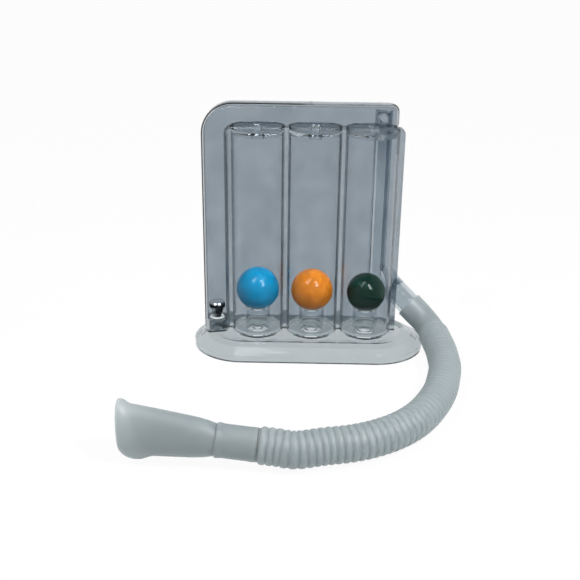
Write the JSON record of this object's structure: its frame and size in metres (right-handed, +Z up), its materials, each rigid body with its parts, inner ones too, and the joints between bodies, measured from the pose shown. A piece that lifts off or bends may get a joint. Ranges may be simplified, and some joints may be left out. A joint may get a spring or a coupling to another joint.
{
  "type": "three-ball breathing trainer",
  "caption": "Clear breathing trainer: a ball rises in each of three tubes as air is drawn in through the ribbed hose and flat mouthpiece.",
  "frame": {"origin": "the middle of the foot on the surface it stands on", "axes": "+X to the right along the foot, +Y to the back, +Z up"},
  "size_m": [0.1736, 0.1742, 0.1446],
  "materials": {
    "clear_plastic": "clear hard plastic, grey at its edges",
    "blue_plastic": "glossy blue",
    "orange_plastic": "glossy orange",
    "green_plastic": "glossy dark green",
    "milky_plastic": "milky grey, slightly see-through",
    "white_plastic": "white moulded",
    "dark_metal": "dark bright metal"
  },
  "bodies": {
    "trainer": {"front_shell": "clear_plastic", "rear_shell": "clear_plastic", "base_foot": "clear_plastic", "blue_ball_seat": "clear_plastic", "orange_ball_seat": "clear_plastic", "green_ball_seat": "clear_plastic", "blue_top_stop": "clear_plastic", "orange_top_stop": "clear_plastic", "green_top_stop": "clear_plastic", "hose_port": "clear_plastic", "port_cuff": "milky_plastic", "ribbed_hose": "milky_plastic", "mouth_cuff": "milky_plastic", "valve_cup": "clear_plastic", "valve_seat_ring": "white_plastic"},
    "left_ball": {"blue_ball": "blue_plastic"},
    "middle_ball": {"orange_ball": "orange_plastic"},
    "right_ball": {"green_ball": "green_plastic"},
    "poppet": {"valve_poppet": "dark_metal"},
    "mouth_end": {"mouthpiece": "milky_plastic"}
  },
  "joints": [
    {"name": "blue_ball_rise", "type": "slide", "parent": "trainer", "child": "left_ball", "axis": [0, 0, 1], "range_m": [0, 0.0778]},
    {"name": "orange_ball_rise", "type": "slide", "parent": "trainer", "child": "middle_ball", "axis": [0, 0, 1], "range_m": [0, 0.0784]},
    {"name": "green_ball_rise", "type": "slide", "parent": "trainer", "child": "right_ball", "axis": [0, 0, 1], "range_m": [0, 0.0804]},
    {"name": "poppet_lift", "type": "slide", "parent": "trainer", "child": "poppet", "axis": [0, 0, 1], "range_m": [0, 0.006]},
    {"name": "mouthpiece_pull", "type": "slide", "parent": "trainer", "child": "mouth_end", "axis": [-0.9945, 0.0521, 0.0906], "range_m": [0, 0.018]}
  ]
}
